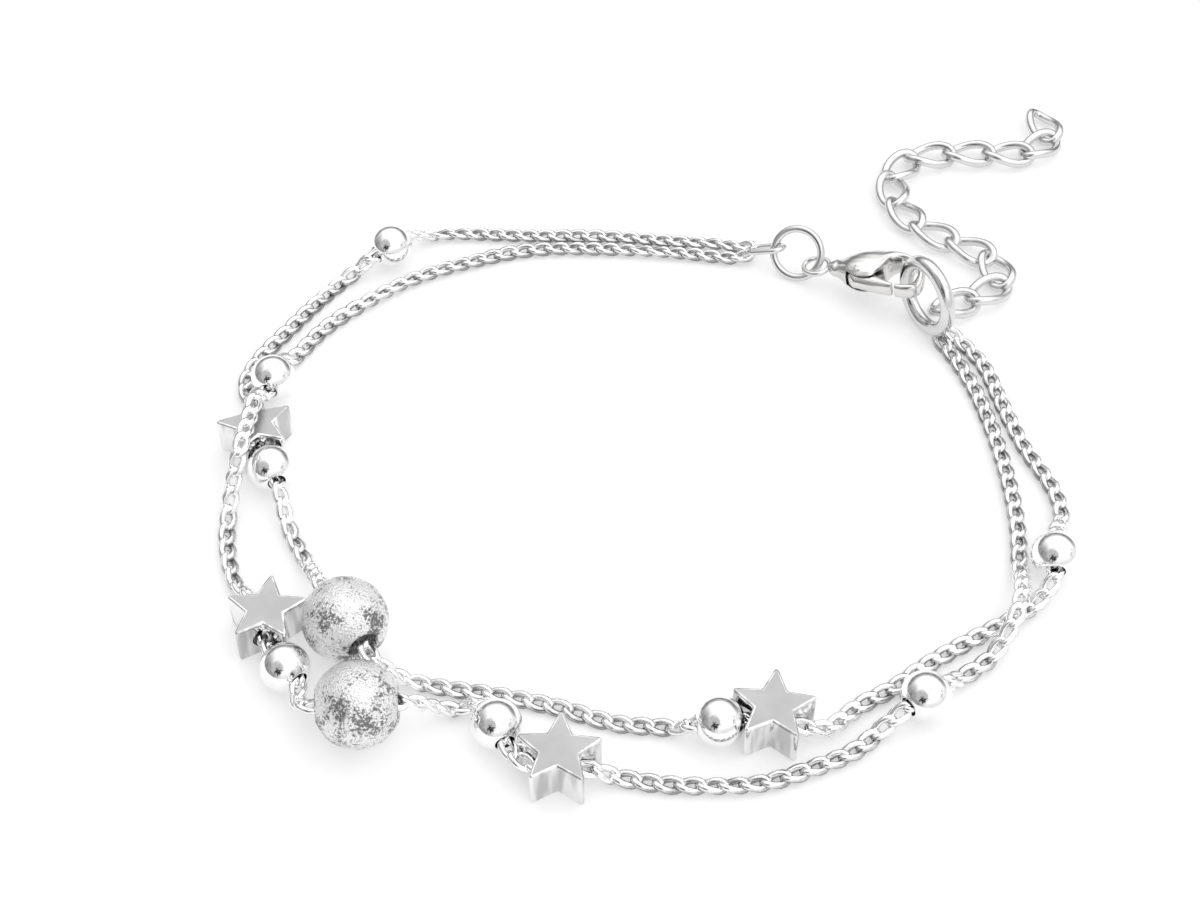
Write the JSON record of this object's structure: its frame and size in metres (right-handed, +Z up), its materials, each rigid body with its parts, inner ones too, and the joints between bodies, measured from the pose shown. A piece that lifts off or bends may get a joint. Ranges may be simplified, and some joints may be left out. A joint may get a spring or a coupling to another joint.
{
  "type": "layered charm bracelet",
  "caption": "Layered charm bracelet: fine chains carry round beads, frosted balls and star beads, and close at a lobster clasp with a free extender chain.",
  "frame": {"origin": "middle of the bounding box's base, on the floor that the bracelet lies on", "axes": "+Z up from the floor, the shortest extent; +Y toward the clasp and extender, the longest extent; +X along the width"},
  "size_m": [0.0702, 0.0728, 0.0067],
  "materials": {
    "polished_silver": "mirror polished",
    "satin_silver": "satin with polished rims",
    "frosted_silver": "sandblasted",
    "cast_silver": "cast and polished"
  },
  "bodies": {
    "bracelet": {"strand_outer": "polished_silver", "strand_inner": "polished_silver", "bead_1": "polished_silver", "bead_2": "polished_silver", "bead_3": "polished_silver", "bead_4": "polished_silver", "bead_5": "polished_silver", "bead_6": "polished_silver", "bead_7": "polished_silver", "bead_8": "polished_silver", "ball_outer": "frosted_silver", "ball_inner": "frosted_silver", "star_a": "satin_silver", "star_b": "satin_silver", "star_c": "satin_silver", "star_d": "satin_silver", "strand_link": "polished_silver", "jump_ring": "polished_silver", "end_ring": "polished_silver", "extender_chain": "polished_silver", "clasp_body": "cast_silver"},
    "lever": {"clasp_lever": "cast_silver"}
  },
  "joints": [
    {"name": "lever_hinge", "type": "hinge", "parent": "bracelet", "child": "lever", "pos_m": [0.01483, 0.01202, 0.00243], "axis": [-0.1928, 0.0779, 0.9781], "range_deg": [0, 26], "stiffness_Nm_per_rad": 0.0002, "springref_deg": -11.46}
  ]
}
